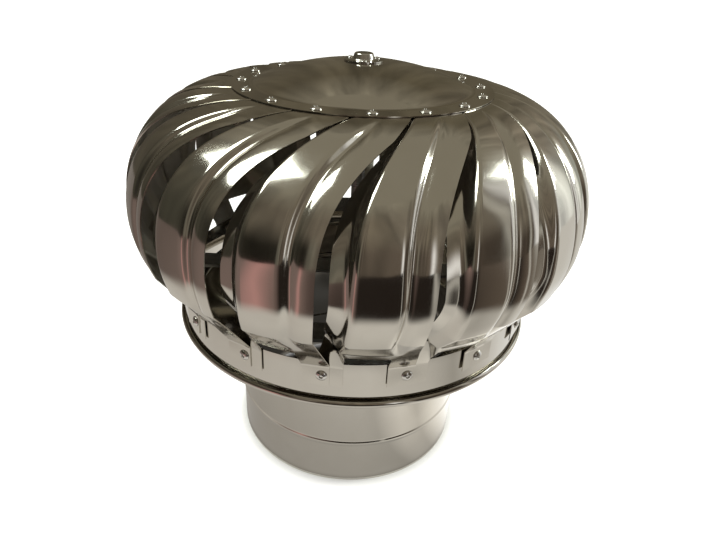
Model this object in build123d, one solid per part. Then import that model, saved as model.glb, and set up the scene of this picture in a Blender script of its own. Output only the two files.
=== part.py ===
"""Turbine roof vent: a ball of twisted vanes that spins on a shaft fixed in its neck."""
import os
from math import atan2, cos, degrees, pi, radians, sin, sqrt, tan

from build123d import *

# Sizes in millimetres, angles in degrees. The origin is the centre of the neck's lower edge.

# Sheet metal
sheet = 0.5                 # vanes, base ring and top plate
neck_sheet = 0.6            # neck
lap_gap = 0.08              # between sheets that lie on one another
weld_gap = 0.08             # between a welded foot and its wall

# Neck
neck_radius = 75.0          # outside
neck_height = 86.0          # lower edge to the bend of the throat
bead_height = 31.5          # lower edge to the stop bead
bead_width = 4.0
bead_rise = 0.9
throat_rise = 14.0          # bend of the throat to the bend of its lip
throat_lip = 6.0
throat_bend = 5.0

# Base ring of the rotor
ring_radius = 110.0         # outside of the band
throat_gap = 7.0            # throat's lip inside the ring
ring_overlap = 12.2         # ring's lower edge below the throat's upper edge
ring_width = 26.9           # lower edge to upper edge
curl_diameter = 4.0         # rolled lower edge
curl_angle = 235.0
curl_shoulder = 3.6         # length of the bend from the band into the roll
throat_radius = ring_radius - throat_gap
throat_top = neck_height + throat_rise + throat_lip
ring_bottom = throat_top - ring_overlap
ring_top = ring_bottom + ring_width

# Ball of vanes
vane_count = 16
ball_overhang = 24.8        # widest place beyond the ring
ball_rise = 48.6            # ring's upper edge to the widest place
lower_reach = 111.6         # lower half: reach and power of its curve
lower_power = 1.74
upper_power = 2.2           # upper half: power of its curve
upper_stations = (0, 18, 36, 52, 66, 78)
pitch = 360.0 / vane_count
ball_radius = ring_radius + ball_overhang
ball_height = ring_top + ball_rise

# Top plate
plate_radius = 74.0
plate_rise = 66.2           # widest place of the ball to the plate's upper face
rim_width = 11.5            # flat flange round the dome
dome_rise = 12.1            # plate's upper face to that of the dome's centre
flat_lap = 5.0              # plate's edge to where the vanes lie flat below it
end_margin = 1.0            # vanes' inner ends outside the dome
dome_radius = plate_radius - rim_width
shoulder_radius = plate_radius - flat_lap
vane_end = dome_radius + end_margin
plate_height = ball_height + plate_rise
dome_height = plate_height + dome_rise

# One vane, by angle round the axis from its middle line
panel_left = 4.0            # flat top of the raised panel, to the left
panel_right = 4.9           # and to the right
step_angle = 1.4            # each sloping side of the panel
left_flange = 3.1
slot_angle = 2.7            # gap to the next vane at the widest place
lap_angle = 16.4            # right edge where it laps the next vane, near the plate
emboss = 2.5                # height of the panel above the right flange
left_drop = 1.0             # left flange below the right one, at the panel
edge_drop = 0.6             # left edge below that
edge_tuck = 5.0             # further drop of the left edge, away from the widest place
tuck_reach = 42.0           # full that far above the widest place
tuck_power = 1.5
twist = 22.5                # turn of a vane from its widest place to its top rivet
twist_power = 1.5
foot_twist = 1.1            # turn back from the widest place to the crease
fade_reach = 24.0           # the panel flattens over this much outside the plate
fade_start = plate_radius + fade_reach
lap_drop = sheet + 2 * lap_gap
left_edge = panel_left + step_angle + left_flange
edge_reach = ball_radius * radians(pitch - slot_angle - left_edge)

# Foot of a vane, from the ring's upper edge
seat_drop = 1.2             # the foot lies on the ring below this
foot_lap = 13.2             # lower end of the foot
slit_height = 10.3          # lower edge of the panel, open to the ring
panel_lip = 3.0             # from there up to where the flanges widen
crease_rise = 11.0          # from there up to where the raised panel begins
crease_spread = 1.2         # widening of the slope below the panel, each side
foot_margin = 4.0           # foot beyond the rivet's centre
foot_fold = 1.0             # width of the fold beside the notch
notch_width = 22.5
notch_margin = 2.0          # folds inside the notch's edge
seat_height = ring_top - seat_drop
foot_bottom = ring_top - foot_lap
notch_top = ring_top + slit_height
flare_height = notch_top + panel_lip
crease_height = flare_height + crease_rise

# Rivets
rivet_diameter = 3.2
rivet_head = 6.0
rivet_rise = 1.3
rivet_tail = 4.6
rivet_tail_length = 1.6
rivet_gap = 0.1             # shank in its hole
head_gap = 0.05             # below a head
top_rivet_margin = 5.9      # plate's edge to the rivet's centre
foot_rivet_drop = 7.1       # ring's upper edge to the rivet's centre
first_vane = 4.35           # panel of the first vane, from the front
lap_shift = 0.15            # foot rivet from halfway between two panels
top_rivet_radius = plate_radius - top_rivet_margin
foot_rivet_height = ring_top - foot_rivet_drop
foot_rivet_angle = pitch / 2 + lap_shift

# Shaft and lower bearing
shaft_diameter = 8.0
shaft_shoulder = 2.0        # step below the bearing
shaft_foot_step = 1.0       # step above the bridge
shaft_foot_length = 16.0
shaft_chamfer = 0.8
running_gap = 0.05
seat_gap = 0.02
end_gap = 0.6               # shaft's end below the cap
bearing_diameter = 22.0
bearing_width = 7.0
bearing_drop = 12.7         # ring's upper edge to the bearing's lower face
inner_ring_wall = 2.1
outer_ring_wall = 1.9
ball_diameter = 4.0
shield_sheet = 0.6
shield_depth = 0.2
seal_gap = 0.3
clip_width = 1.0
clip_wall = 2.2
clip_groove = 0.4
clip_mouth = 70.0
bearing_bore = shaft_diameter
bearing_height = ring_top - bearing_drop
shaft_body = shaft_diameter + 2 * shaft_shoulder
shaft_foot = shaft_body - 2 * shaft_foot_step

# Cap and bush on top
cap_sheet = 0.8
cap_clearance = 2.2         # outside of the cap's boss beyond the shaft
cap_flange = 4.8
cap_boss_rise = 3.6
cap_taper = 1.0
cap_bend = 0.9
cap_rivet_count = 3
cap_rivet_diameter = 2.0
cap_rivet_head = 3.6
cap_rivet_rise = 0.9
cap_rivet_tail = 3.0
flat_margin = 2.0           # flat centre of the dome beyond the cap
bush_flange = 1.5
bush_length = 16.0
bush_wall = 2.0
cap_boss_radius = shaft_diameter / 2 + cap_clearance
cap_radius = cap_boss_radius + cap_flange
cap_rivet_radius = cap_boss_radius + cap_flange / 2
dome_flat = cap_radius + flat_margin
bush_radius = shaft_diameter / 2 + bush_wall

# Bridges across the neck and the ring
bridge_height = 60.0        # lower face of the neck's bridge
bridge_sheet = 3.0
bridge_width = 20.0
bridge_foot = 15.0
arm_sheet = 2.0
arm_width = 16.0
arm_foot = 9.0
hub_wall = 2.4
hub_lip = 2.0
hub_ledge = 3.0             # width of the hub's lip over the bearing
nut_width = 16.0
nut_height = 8.0
washer_radius = 10.0
washer_height = 1.6
hub_bore = bearing_diameter / 2 - hub_ledge

front = -90.0               # direction of the front, from +X


def turned(path, thickness, side):
    """A sheet of even thickness turned round the axis, from its outline's line."""
    outline = Wire(path.edges()).offset_2d(thickness, side=side, closed=True)
    return revolve(Plane.XZ * make_face(outline.edges()), Axis.Z)


def turned_solid(points):
    """A solid turned round the axis from the corners of its half section."""
    return revolve(Plane.XZ * make_face(Polyline(*points, close=True)), Axis.Z)


def hollow(outer, inner, bottom, top):
    """A plain ring."""
    return turned_solid([(inner, bottom), (outer, bottom), (outer, top), (inner, top)])


def upright_pin(diameter, radius, angle, bottom, top):
    """A cylinder parallel to the axis."""
    place = Rot(0, 0, angle) * Pos(radius, 0, bottom)
    return place * Cylinder(diameter / 2, top - bottom, align=(Align.CENTER, Align.CENTER, Align.MIN))


def level_pin(diameter, angle, height, near, far):
    """A cylinder that points away from the axis."""
    place = Rot(0, 0, angle) * Pos(near, 0, height) * Rot(0, 90, 0)
    return place * Cylinder(diameter / 2, far - near, align=(Align.CENTER, Align.CENTER, Align.MIN))


def vane_angles():
    """Direction of each vane's panel at the widest place."""
    return [front + first_vane + pitch * i for i in range(vane_count)]


def foot_rivet_angles():
    return [angle - foot_rivet_angle for angle in vane_angles()]


def top_rivet_angles():
    return [angle + twist for angle in vane_angles()]


def cap_rivet_angles():
    return [front + 360.0 * i / cap_rivet_count for i in range(cap_rivet_count)]


# Neck and what is fixed to it

def make_neck():
    below = bead_height - bead_width / 2
    above = bead_height + bead_width / 2
    lip = throat_top - throat_lip
    wall = Line((neck_radius, 0), (neck_radius, below))
    bead = ThreePointArc(
        (neck_radius, below), (neck_radius + bead_rise, bead_height), (neck_radius, above)
    )
    throat = FilletPolyline(
        (neck_radius, above),
        (neck_radius, neck_height),
        (throat_radius, lip),
        (throat_radius, throat_top),
        radius=throat_bend,
    )
    return turned(wall + bead + throat, neck_sheet, Side.LEFT)


def make_bridge(reach, bottom, thickness, width, foot):
    """A strap across the axis with both ends bent down along a round wall."""
    bar = Pos(0, 0, bottom) * Box(
        2 * reach, width, thickness, align=(Align.CENTER, Align.CENTER, Align.MIN)
    )
    legs = Pos(0, 0, bottom - foot) * Box(
        2 * reach, width, foot, align=(Align.CENTER, Align.CENTER, Align.MIN)
    )
    rounding = Pos(0, 0, bottom - foot) * Cylinder(
        reach, foot + thickness, align=(Align.CENTER, Align.CENTER, Align.MIN)
    )
    legs -= Pos(0, 0, bottom - foot) * Cylinder(
        reach - thickness, foot, align=(Align.CENTER, Align.CENTER, Align.MIN)
    )
    return (bar + legs) & rounding


def make_neck_bridge():
    reach = neck_radius - neck_sheet - weld_gap
    top = bridge_height + bridge_sheet
    strap = make_bridge(reach, bridge_height, bridge_sheet, bridge_width, bridge_foot)
    return strap - upright_pin(shaft_foot + 2 * rivet_gap, 0, 0, bridge_height, top)


def make_shaft():
    seat = bridge_height + bridge_sheet
    end = dome_height + cap_boss_rise - end_gap
    groove = bearing_height + bearing_width + seat_gap
    foot = bridge_height - shaft_foot_length
    shaft = turned_solid([
        (0, foot),
        (shaft_foot / 2 - shaft_chamfer, foot),
        (shaft_foot / 2, foot + shaft_chamfer),
        (shaft_foot / 2, seat),
        (shaft_body / 2, seat),
        (shaft_body / 2, bearing_height),
        (shaft_diameter / 2, bearing_height),
        (shaft_diameter / 2, end - shaft_chamfer),
        (shaft_diameter / 2 - shaft_chamfer, end),
        (0, end),
    ])
    groove_floor = shaft_diameter / 2 - clip_groove
    groove_width = clip_width + 2 * seat_gap
    return shaft - hollow(shaft_diameter, groove_floor, groove, groove + groove_width)


def make_washer():
    bore = shaft_foot / 2 + rivet_gap
    return hollow(washer_radius, bore, bridge_height - washer_height, bridge_height)


def make_nut():
    top = bridge_height - washer_height
    corner = nut_width / sqrt(3)
    body = Pos(0, 0, top - nut_height) * extrude(RegularPolygon(corner, 6), nut_height)
    body -= upright_pin(shaft_foot + 2 * rivet_gap, 0, 0, top - nut_height, top)
    cone = turned_solid([
        (0, top - nut_height),
        (nut_width / 2, top - nut_height),
        (nut_width / 2 + nut_height, top - nut_height / 2),
        (nut_width / 2 + nut_height, top),
        (0, top),
    ])
    return body & cone


def ball_track():
    """Groove for the balls, as a ring round the axis."""
    middle = (inner_track() + outer_track()) / 2
    height = bearing_height + bearing_width / 2
    return Pos(0, 0, height) * Torus(middle, ball_diameter / 2 + running_gap)


def inner_track():
    return bearing_bore / 2 + inner_ring_wall


def outer_track():
    return bearing_diameter / 2 - outer_ring_wall


def make_inner_ring():
    top = bearing_height + bearing_width
    ring = hollow(inner_track(), bearing_bore / 2 + seat_gap, bearing_height, top)
    return ring - ball_track()


def make_outer_ring():
    """Outer ring with a shield pressed in at each face."""
    top = bearing_height + bearing_width
    ring = hollow(bearing_diameter / 2, outer_track(), bearing_height, top) - ball_track()
    inner = inner_track() + seal_gap
    for bottom in (bearing_height + shield_depth, top - shield_depth - shield_sheet):
        ring += hollow(outer_track(), inner, bottom, bottom + shield_sheet)
    return ring


def make_clip():
    """Open retaining ring above the lower bearing."""
    bottom = bearing_height + bearing_width + 2 * seat_gap
    inner = shaft_diameter / 2 - clip_groove + running_gap
    ring = hollow(inner + clip_wall, inner, bottom, bottom + clip_width)
    reach = 2 * (inner + clip_wall)
    half = reach * tan(radians(clip_mouth / 2))
    mouth = make_face(Polyline((0, 0), (reach, -half), (reach, half), close=True))
    return ring - Pos(0, 0, bottom) * extrude(mouth, clip_width)


# Rotor

def make_base_ring():
    roll = curl_diameter / 2
    inner = ring_radius - sheet
    middle = ring_radius - sheet / 2
    height = ring_bottom + roll
    band = Polyline(
        (inner, ring_top),
        (inner, height + curl_shoulder),
        (middle - roll, height),
    )
    curl = CenterArc((middle, height), roll, 180, curl_angle)
    ring = turned(band + curl, sheet, Side.LEFT)
    for angle in foot_rivet_angles():
        ring -= level_pin(
            rivet_diameter + 2 * rivet_gap,
            angle,
            foot_rivet_height,
            ring_radius - curl_diameter,
            ring_radius + curl_diameter,
        )
    return ring


def make_top_plate():
    rim = Line((plate_radius, plate_height), (dome_radius, plate_height))
    square = dome_radius**2 + plate_height**2 - dome_flat**2 - dome_height**2
    middle = square / (2 * (plate_height - dome_height))
    radius = sqrt(dome_radius**2 + (plate_height - middle) ** 2)
    top = middle + radius * sin(pi / 2 - (dome_flat + dome_radius) / (2 * radius))
    across = radius * sin((dome_flat + dome_radius) / (2 * radius))
    crown = ThreePointArc((dome_radius, plate_height), (across, top), (dome_flat, dome_height))
    centre = Line((dome_flat, dome_height), (cap_boss_radius, dome_height))
    plate = turned(rim + crown + centre, sheet, Side.LEFT)
    for angle in top_rivet_angles():
        plate -= upright_pin(
            rivet_diameter + 2 * rivet_gap,
            top_rivet_radius,
            angle,
            plate_height - 2 * sheet,
            plate_height + sheet,
        )
    for angle in cap_rivet_angles():
        plate -= upright_pin(
            cap_rivet_diameter + 2 * rivet_gap,
            cap_rivet_radius,
            angle,
            dome_height - 2 * sheet,
            dome_height + sheet,
        )
    return plate


def lower_curve(height):
    """Radius of the ball's lower half at a height."""
    share = ((ball_height - height) / lower_reach) ** lower_power
    return ball_radius * (1 - share) ** (1 / lower_power)


def upper_curve(angle):
    """Point on the ball's upper half, from its widest place at 0 to where it is flat at 90."""
    power = 2 / upper_power
    flat = plate_height - sheet - lap_gap
    radius = shoulder_radius + (ball_radius - shoulder_radius) * max(cos(radians(angle)), 0) ** power
    return radius, ball_height + (flat - ball_height) * sin(radians(angle)) ** power


def twist_at(radius, height):
    """Turn of a vane at a place on the ball, against its widest place."""
    if height < ball_height:
        share = (ball_height - height) / (ball_height - crease_height)
        return -foot_twist * min(share, 1) ** twist_power
    share = (ball_radius - radius) / (ball_radius - top_rivet_radius)
    return twist * max(share, 0) ** twist_power


def fade_at(radius, height):
    """Share of the full relief: 1 on the ball, 0 where the vane lies flat below the plate."""
    if height < ball_height:
        return 1.0
    share = (radius - plate_radius) / (fade_start - plate_radius)
    share = min(max(share, 0.0), 1.0)
    return share * share * (3 - 2 * share)


def tuck_at(height):
    """Extra depth of a vane's left edge, which runs straighter than the ball."""
    share = (ball_height - height) / (ball_height - crease_height)
    if height > ball_height:
        share = min((height - ball_height) / tuck_reach, 1)
    return edge_tuck * share ** tuck_power


def vane_corners(radius, height, relief, spread):
    """Angle and depth of the corners of a vane's outer face, from left to right."""
    fade = fade_at(radius, height)
    left_level = (emboss + left_drop) * fade + lap_drop * (1 - fade)
    tuck = tuck_at(height) * fade
    right_level = emboss * fade
    right_edge = min(degrees(edge_reach / radius), lap_angle)
    return [
        (-left_edge, left_level + edge_drop * fade + tuck),
        (-panel_left - step_angle - spread, left_level + tuck / 2),
        (-panel_left - spread, left_level * (1 - relief)),
        (panel_right + spread, right_level * (1 - relief)),
        (panel_right + step_angle + spread, right_level),
        (right_edge, right_level * (1 - relief)),
    ]


def sheet_wire(place, outer):
    """Closed outline of a folded sheet: its outer corners and the same corners one thickness in."""
    lean = sheet * tan(pi / 8)
    shift = [0, lean, lean, -lean, -lean, 0]
    inner = [(x + s, y - sheet) for (x, y), s in zip(outer, shift)]
    return place * Wire.make_polygon([Vector(x, y) for x, y in outer + inner[::-1]], close=True)


def ball_section(point, ahead, relief=1.0, spread=0.0):
    """Outline of the vane across its path at one place of the ball."""
    radius, height = point
    run = atan2(ahead[1] - height, ahead[0] - radius)
    out, up = sin(run), -cos(run)
    turn = radians(twist_at(radius, height))
    outer = []
    for angle, depth in vane_corners(radius, height, relief, spread):
        across = radius * sin(radians(angle))
        drop = radius * (1 - cos(radians(angle))) * out
        outer.append((across, -drop - depth))
    place = Plane(
        origin=(radius * cos(turn), radius * sin(turn), height),
        x_dir=(-sin(turn), cos(turn), 0),
        z_dir=(cos(turn) * up, sin(turn) * up, -out),
    )
    return sheet_wire(place, outer)


def beside(distance, turn, along):
    """A point so far along a flat that faces a direction at a distance from the axis."""
    return distance * sin(turn) + along * cos(turn), distance * cos(turn) - along * sin(turn)


def foot_section(height):
    """Outline of the vane's foot across the ring, flat against it at each rivet."""
    near = ring_radius + lap_gap + sheet
    far = near + lap_gap + sheet
    left = -radians(foot_rivet_angle)
    right = left + radians(pitch)
    inner = notch_width / 2 - notch_margin
    left_reach = near * tan(-left) - inner
    right_reach = far * tan(right) - inner
    outer = [beside(near, left, along) for along in (-foot_margin, left_reach - foot_fold, left_reach)]
    ends = (-right_reach, foot_fold - right_reach, foot_margin)
    outer += [beside(far, right, along) for along in ends]
    return sheet_wire(Plane(origin=(0, 0, height), x_dir=(0, 1, 0), z_dir=(0, 0, -1)), outer)


def blade_sections():
    """Outlines of the vane from the crease over the ball to its flat inner end."""
    step = 0.01
    sections = []
    for height in (crease_height, (crease_height + ball_height) / 2):
        point = (lower_curve(height), height)
        ahead = (lower_curve(height + step), height + step)
        sections.append(ball_section(point, ahead))
    for angle in upper_stations:
        sections.append(ball_section(upper_curve(angle), upper_curve(angle + step)))
    flat = upper_curve(90)[1]
    for radius in (shoulder_radius, vane_end):
        sections.append(ball_section((radius, flat), (radius - step, flat)))
    return sections


def make_vane():
    """The first vane, with its panel facing +X at the ball's widest place."""
    step = 0.01
    sections = blade_sections()
    blade = Solid.make_loft(sections)
    flare = ball_section(
        (lower_curve(flare_height), flare_height),
        (lower_curve(flare_height + step), flare_height + step),
        relief=0.0,
        spread=crease_spread,
    )
    foot = Solid.make_loft(
        [sections[0], flare, foot_section(seat_height), foot_section(foot_bottom)], ruled=True
    )
    vane = blade + foot
    reach = ball_radius - ring_radius
    vane -= Pos(ring_radius, 0, foot_bottom) * Box(
        2 * reach,
        notch_width,
        notch_top - foot_bottom,
        align=(Align.CENTER, Align.CENTER, Align.MIN),
    )
    hole = rivet_diameter + 2 * rivet_gap
    for angle in (-foot_rivet_angle, pitch - foot_rivet_angle):
        vane -= level_pin(hole, angle, foot_rivet_height, ring_radius - reach, ring_radius + reach)
    return vane - upright_pin(hole, top_rivet_radius, twist, plate_height - reach, plate_height)


def make_rivet(diameter, head, rise, grip, tail, tail_length):
    """A set rivet along +Z, with the face below its head at zero."""
    dome = TangentArc((0, rise), (head / 2, 0), tangent=(1, 0))
    edges = Polyline(
        (0, rise),
        (0, -grip - tail_length),
        (tail / 2, -grip - tail_length),
        (tail / 2, -grip),
        (diameter / 2, -grip),
        (diameter / 2, 0),
        (head / 2, 0),
    )
    return revolve(Plane.XZ * make_face((dome + edges).edges()), Axis.Z)


def make_foot_rivets():
    seat = ring_radius + 2 * lap_gap + 2 * sheet + head_gap
    grip = seat - (ring_radius - sheet) + head_gap
    rivet = make_rivet(rivet_diameter, rivet_head, rivet_rise, grip, rivet_tail, rivet_tail_length)
    level = Pos(seat, 0, foot_rivet_height) * Rot(0, 90, 0)
    return [Rot(0, 0, angle) * level * rivet for angle in foot_rivet_angles()]


def make_top_rivets():
    seat = plate_height + head_gap
    grip = 2 * sheet + lap_gap + 2 * head_gap
    rivet = make_rivet(rivet_diameter, rivet_head, rivet_rise, grip, rivet_tail, rivet_tail_length)
    return [Rot(0, 0, angle) * Pos(top_rivet_radius, 0, seat) * rivet for angle in top_rivet_angles()]


def make_cap_rivets():
    seat = dome_height + lap_gap + cap_sheet + head_gap
    grip = cap_sheet + 2 * lap_gap + sheet + bush_flange + 2 * head_gap
    rivet = make_rivet(
        cap_rivet_diameter, cap_rivet_head, cap_rivet_rise, grip, cap_rivet_tail, cap_rivet_rise
    )
    return [Rot(0, 0, angle) * Pos(cap_rivet_radius, 0, seat) * rivet for angle in cap_rivet_angles()]


def cap_rivet_holes(bottom, top):
    size = cap_rivet_diameter + 2 * rivet_gap
    return [upright_pin(size, cap_rivet_radius, angle, bottom, top) for angle in cap_rivet_angles()]


def make_cap():
    """Flanged cap over the shaft's end."""
    bottom = dome_height + lap_gap + cap_sheet
    top = bottom + cap_boss_rise
    path = FilletPolyline(
        (cap_radius, bottom),
        (cap_boss_radius, bottom),
        (cap_boss_radius - cap_taper, top),
        (0, top),
        radius=cap_bend,
    )
    cap = turned(path, cap_sheet, Side.LEFT)
    for hole in cap_rivet_holes(dome_height, bottom + cap_sheet):
        cap -= hole
    return cap


def make_bush():
    """Flanged plain bearing below the dome."""
    top = dome_height - sheet - lap_gap
    bore = shaft_diameter / 2 + running_gap
    bush = turned_solid([
        (bore, top),
        (cap_radius, top),
        (cap_radius, top - bush_flange),
        (bush_radius, top - bush_flange),
        (bush_radius, top - bush_length),
        (bore, top - bush_length),
    ])
    for hole in cap_rivet_holes(top - 2 * bush_flange, top + bush_flange):
        bush -= hole
    return bush


def make_rotor_bridge():
    """Strap across the base ring with the cup that holds the lower bearing."""
    reach = ring_radius - sheet - weld_gap
    bottom = bearing_height + bearing_width + seat_gap
    strap = make_bridge(reach, bottom, arm_sheet, arm_width, arm_foot)
    cup_radius = bearing_diameter / 2 + seat_gap + hub_wall
    cup = hollow(cup_radius, bearing_diameter / 2 + seat_gap, bearing_height, bottom)
    lip = hollow(cup_radius, hub_bore, bottom, bottom + hub_lip)
    opening = upright_pin(2 * hub_bore, 0, 0, bottom, bottom + arm_sheet)
    return strap - opening + cup + lip


def named_parts():
    """Every piece by name."""
    parts = {
        "neck_collar": make_neck(),
        "neck_bridge": make_neck_bridge(),
        "shaft": make_shaft(),
        "shaft_washer": make_washer(),
        "shaft_nut": make_nut(),
        "shaft_clip": make_clip(),
        "lower_bearing_inner_ring": make_inner_ring(),
        "lower_bearing_outer_ring": make_outer_ring(),
        "rotor_bridge": make_rotor_bridge(),
        "base_ring": make_base_ring(),
        "top_plate": make_top_plate(),
        "top_bush": make_bush(),
        "bearing_cap": make_cap(),
        "cap_rivets": Compound(make_cap_rivets()),
        "vane_top_rivets": Compound(make_top_rivets()),
        "vane_foot_rivets": Compound(make_foot_rivets()),
    }
    vane = make_vane()
    for number, angle in enumerate(vane_angles(), 1):
        parts[f"vane_{number:02d}"] = Rot(0, 0, angle) * vane
    return parts


def main():
    os.makedirs("parts", exist_ok=True)
    for name, part in named_parts().items():
        export_step(part, f"parts/{name}.step")


main()
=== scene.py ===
from math import atan2, cos, degrees, pi, radians, sin, tan

import bmesh
import bpy
from mathutils import Matrix, Vector


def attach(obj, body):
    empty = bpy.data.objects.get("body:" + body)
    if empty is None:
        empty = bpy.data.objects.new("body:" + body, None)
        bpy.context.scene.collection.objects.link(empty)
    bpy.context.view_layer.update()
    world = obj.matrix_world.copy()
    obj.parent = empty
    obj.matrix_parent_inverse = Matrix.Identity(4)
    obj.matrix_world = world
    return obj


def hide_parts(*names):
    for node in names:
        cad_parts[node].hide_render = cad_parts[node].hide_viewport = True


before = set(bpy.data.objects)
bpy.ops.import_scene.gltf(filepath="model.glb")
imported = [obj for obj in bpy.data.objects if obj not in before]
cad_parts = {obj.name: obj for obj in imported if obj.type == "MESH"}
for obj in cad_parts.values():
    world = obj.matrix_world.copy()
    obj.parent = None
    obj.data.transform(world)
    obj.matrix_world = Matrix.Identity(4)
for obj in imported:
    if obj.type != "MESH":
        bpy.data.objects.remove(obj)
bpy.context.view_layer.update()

# Sizes of the vent in millimetres and degrees, those of its solids apart from the roundings

mm = 0.001
front = -90.0               # direction of the vent's front, round the shaft

# Sheet metal
sheet = 0.5                 # vanes, base ring and top plate
neck_sheet = 0.6
lap_gap = 0.08              # between sheets that lie on one another

# Neck
neck_radius = 75.0
neck_height = 86.0          # lower edge to the bend of the throat
bead_height = 31.5
bead_width = 4.0
bead_rise = 0.9
throat_rise = 14.0          # bend of the throat to the bend of its lip
throat_lip = 6.0
throat_bend = 3.0           # rounding of both bends, each way along the sheet

# Base ring of the rotor
ring_radius = 110.0
throat_gap = 7.0            # throat's lip inside the ring
ring_overlap = 12.2         # ring's lower edge below the throat's upper edge
ring_width = 26.9
curl_diameter = 4.0         # rolled lower edge
curl_angle = 235.0
curl_shoulder = 3.6         # length of the bend from the band into the roll
fold_bend = 1.2             # rounding of that bend and of the dome's foot, each way along the sheet
throat_radius = ring_radius - throat_gap
ring_bottom = neck_height + throat_rise + throat_lip - ring_overlap
ring_top = ring_bottom + ring_width

# Ball of vanes
vane_count = 16
ball_overhang = 24.8        # widest place beyond the ring
ball_rise = 48.6            # ring's upper edge to the widest place
lower_reach = 111.6         # lower half: reach and power of its curve
lower_power = 1.74
upper_power = 2.2           # upper half: power of its curve
pitch = 360.0 / vane_count
ball_radius = ring_radius + ball_overhang
ball_height = ring_top + ball_rise

# Top plate
plate_radius = 74.0
plate_rise = 66.2           # widest place of the ball to the plate's upper face
rim_width = 11.5            # flat flange round the dome
dome_rise = 12.1            # plate's upper face to that of the dome's centre
flat_lap = 5.0              # plate's edge to where the vanes lie flat below it
end_margin = 1.0            # vanes' inner ends outside the dome
dome_radius = plate_radius - rim_width
shoulder_radius = plate_radius - flat_lap
vane_end = dome_radius + end_margin
plate_height = ball_height + plate_rise
dome_height = plate_height + dome_rise

# One vane, by angle round the axis from its middle line
panel_left = 4.0            # flat top of the raised panel, to the left
panel_right = 4.9           # and to the right
step_angle = 1.4            # each sloping side of the panel
left_flange = 3.1
slot_angle = 2.7            # gap to the next vane at the widest place
lap_angle = 16.4            # right edge where it laps the next vane, near the plate
emboss = 2.5                # height of the panel above the right flange
left_drop = 1.0             # left flange below the right one, at the panel
edge_drop = 0.6             # left edge below that
edge_tuck = 5.0             # further drop of the left edge, away from the widest place
tuck_reach = 42.0           # full that far above the widest place
tuck_power = 1.5
twist = 22.5                # turn of a vane from its widest place to its top rivet
twist_power = 1.5
foot_twist = 1.1            # turn back from the widest place to the crease
fade_reach = 24.0           # the panel flattens over this much outside the plate
press_round = 0.5           # rounding of the panel's edges, in degrees to each side
flange_power = 4            # how soon the right flange levels out towards its free edge
lap_drop = sheet + 2 * lap_gap
left_edge = panel_left + step_angle + left_flange
edge_reach = ball_radius * radians(pitch - slot_angle - left_edge)

# Foot of a vane, from the ring's upper edge
seat_drop = 1.2             # the foot lies on the ring below this
foot_lap = 13.2             # lower end of the foot
slit_height = 10.3          # lower edge of the panel, open to the ring
panel_lip = 3.0             # from there up to where the flanges widen
crease_rise = 11.0          # from there up to where the raised panel begins
crease_spread = 1.2         # widening of the slope below the panel, each side
foot_margin = 4.0           # foot beyond the rivet's centre
foot_fold = 1.0             # width of the fold beside the notch
notch_width = 22.5
notch_margin = 2.0          # folds inside the notch's edge
seat_height = ring_top - seat_drop
foot_bottom = ring_top - foot_lap
notch_top = ring_top + slit_height
flare_height = notch_top + panel_lip
crease_height = flare_height + crease_rise

# Cap on the dome
cap_sheet = 0.8
cap_boss_radius = 6.2
cap_flange = 4.8
cap_boss_rise = 3.6
cap_taper = 1.0
cap_foot_bend = 0.7         # rounding of the boss's foot, each way along the sheet
cap_brow_bend = 0.8         # and of its upper edge
flat_margin = 2.0           # flat place of the dome beyond the cap
bush_flange = 1.5           # flange of the bush below the dome
cap_radius = cap_boss_radius + cap_flange
dome_flat = cap_radius + flat_margin

# Rivets
rivet_diameter = 3.2
rivet_head = 6.0
rivet_rise = 1.3
rivet_tail = 4.6
rivet_tail_length = 1.6
cap_rivet_count = 3
cap_rivet_diameter = 2.0
cap_rivet_head = 3.6
cap_rivet_rise = 0.9
cap_rivet_tail = 3.0
head_gap = 0.05             # below a head
top_rivet_margin = 5.9      # plate's edge to the rivet's centre
foot_rivet_drop = 7.1       # ring's upper edge to the rivet's centre
first_vane = 4.35           # panel of the first vane, from the front
lap_shift = 0.15            # foot rivet from halfway between two panels
top_rivet_radius = plate_radius - top_rivet_margin
foot_rivet_height = ring_top - foot_rivet_drop
foot_rivet_angle = pitch / 2 + lap_shift
cap_rivet_radius = cap_boss_radius + cap_flange / 2

# Facets
sheet_facets = 192          # round the neck, the ring and the plate
cap_facets = 72
rivet_facets = 28
curl_facets = 18
dome_facets = 20            # from the dome's foot to its flat place


# Finishes

smudge_size = 26.0          # marks of handling, in millimetres
scratch_size = 9.0          # in millimetres, coarser than real scratches, so that they show
scratch_squeeze = 14.0      # scratches are that much narrower up the shaft
inside_rough = 0.45         # the sheet's inner side isn't polished


def linear(code):
    """A colour from its sRGB hex code."""
    shares = [int(code[i:i + 2], 16) / 255 for i in (1, 3, 5)]
    return [s / 12.92 if s <= 0.04045 else ((s + 0.055) / 1.055) ** 2.4 for s in shares] + [1.0]


def add(tree, kind, settings=None, stops=(), **links):
    """A node with its settings and its ramp's tones, its inputs set or joined to other nodes' outputs."""
    node = tree.nodes.new(kind)
    for name, value in (settings or {}).items():
        setattr(node, name, value)
    for number, (place, tone) in enumerate(stops):
        marks = node.color_ramp.elements
        # A new ramp already has two marks
        mark = marks[number] if number < 2 else marks.new(place)
        mark.position = place
        mark.color = linear(tone)
    for name, value in links.items():
        socket = node.inputs[int(name[1:]) if name[1:].isdigit() else name.replace("_", " ")]
        if isinstance(value, bpy.types.NodeSocket):
            tree.links.new(value, socket)
        else:
            socket.default_value = value
    return node


def new_finish(name):
    """An empty material, its node tree and its object coordinates."""
    finish = bpy.data.materials.new(name)
    finish.use_nodes = True
    finish.node_tree.nodes.clear()
    coords = add(finish.node_tree, "ShaderNodeTexCoord").outputs["Object"]
    return finish, finish.node_tree, coords


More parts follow.
